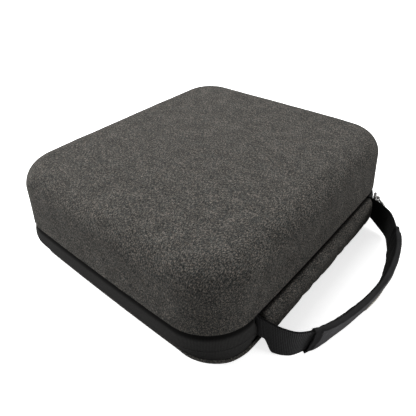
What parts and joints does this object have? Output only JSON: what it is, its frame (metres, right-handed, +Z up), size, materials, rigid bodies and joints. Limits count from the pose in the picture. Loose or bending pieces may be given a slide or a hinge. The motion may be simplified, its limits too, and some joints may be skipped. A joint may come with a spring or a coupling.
{
  "type": "launch monitor carry case",
  "caption": "Moulded fabric case for a portable launch monitor, with a zip on three sides, a padded spine hinge, a webbing loop handle and a foam insert with a monitor bay.",
  "frame": {"origin": "on the ground under the middle of the moulded shell", "axes": "+X towards the spine, where the lid hinges and the handle is sewn; +Y along the spine; +Z up with the case lying on its base"},
  "size_m": [0.2795, 0.2673, 0.0856],
  "materials": {
    "heather_fabric": "matte",
    "moulded_foam": "matte",
    "insert_foam": "matte",
    "lining": "matte",
    "pocket_mesh": "matte",
    "zip_tape": "satin",
    "zip_coil": "satin",
    "webbing": "matte",
    "grip_cloth": "satin",
    "plain_patch": "matte",
    "zip_metal": "satin"
  },
  "bodies": {
    "base": {"base_fabric": "heather_fabric", "base_shell": "moulded_foam", "base_lining": "lining", "base_binding": "webbing", "zip_tape_base": "zip_tape", "zip_coil_base": "zip_coil", "hinge_strip": "heather_fabric", "hinge_web": "webbing", "foam_insert": "insert_foam", "insert_floor": "insert_foam", "bay_pad": "lining", "handle_tail_near": "webbing", "handle_tail_far": "webbing"},
    "lid": {"lid_fabric": "heather_fabric", "lid_shell": "moulded_foam", "lid_lining": "lining", "lid_binding": "webbing", "lid_pocket": "pocket_mesh", "lid_pocket_elastic": "webbing", "zip_tape_lid": "zip_tape", "zip_coil_lid": "zip_coil"},
    "handle": {"handle_webbing": "webbing", "handle_grip": "grip_cloth", "grip_pad": "insert_foam", "grip_patch": "plain_patch"},
    "corner_slider": {"corner_slider": "zip_metal"},
    "corner_puller": {"corner_puller": "zip_metal"},
    "side_slider": {"side_slider": "zip_metal"},
    "side_puller": {"side_puller": "zip_metal"}
  },
  "joints": [
    {"name": "lid_hinge", "type": "hinge", "parent": "base", "child": "lid", "pos_m": [0.1155, 0, 0.036], "axis": [0, 1, 0], "range_deg": [0, 90]},
    {"name": "handle_swing", "type": "hinge", "parent": "base", "child": "handle", "pos_m": [0.115, 0, 0.0166], "axis": [0, 1, 0], "range_deg": [-45, 0]},
    {"name": "corner_slider_run", "type": "hinge", "parent": "base", "child": "corner_slider", "pos_m": [0.0755, 0.089, 0.0215], "axis": [0, 0, 1], "range_deg": [0, 55]},
    {"name": "corner_puller_flip", "type": "hinge", "parent": "corner_slider", "child": "corner_puller", "pos_m": [0.11497, 0.10336, 0.0215], "axis": [0, 0, 1], "range_deg": [0, 150]},
    {"name": "side_slider_run", "type": "slide", "parent": "base", "child": "side_slider", "axis": [-1, 0, 0], "range_m": [0, 0.115]},
    {"name": "side_puller_flip", "type": "hinge", "parent": "side_slider", "child": "side_puller", "pos_m": [0.056, 0.1319, 0.0215], "axis": [0, 0, 1], "range_deg": [0, 150]}
  ]
}
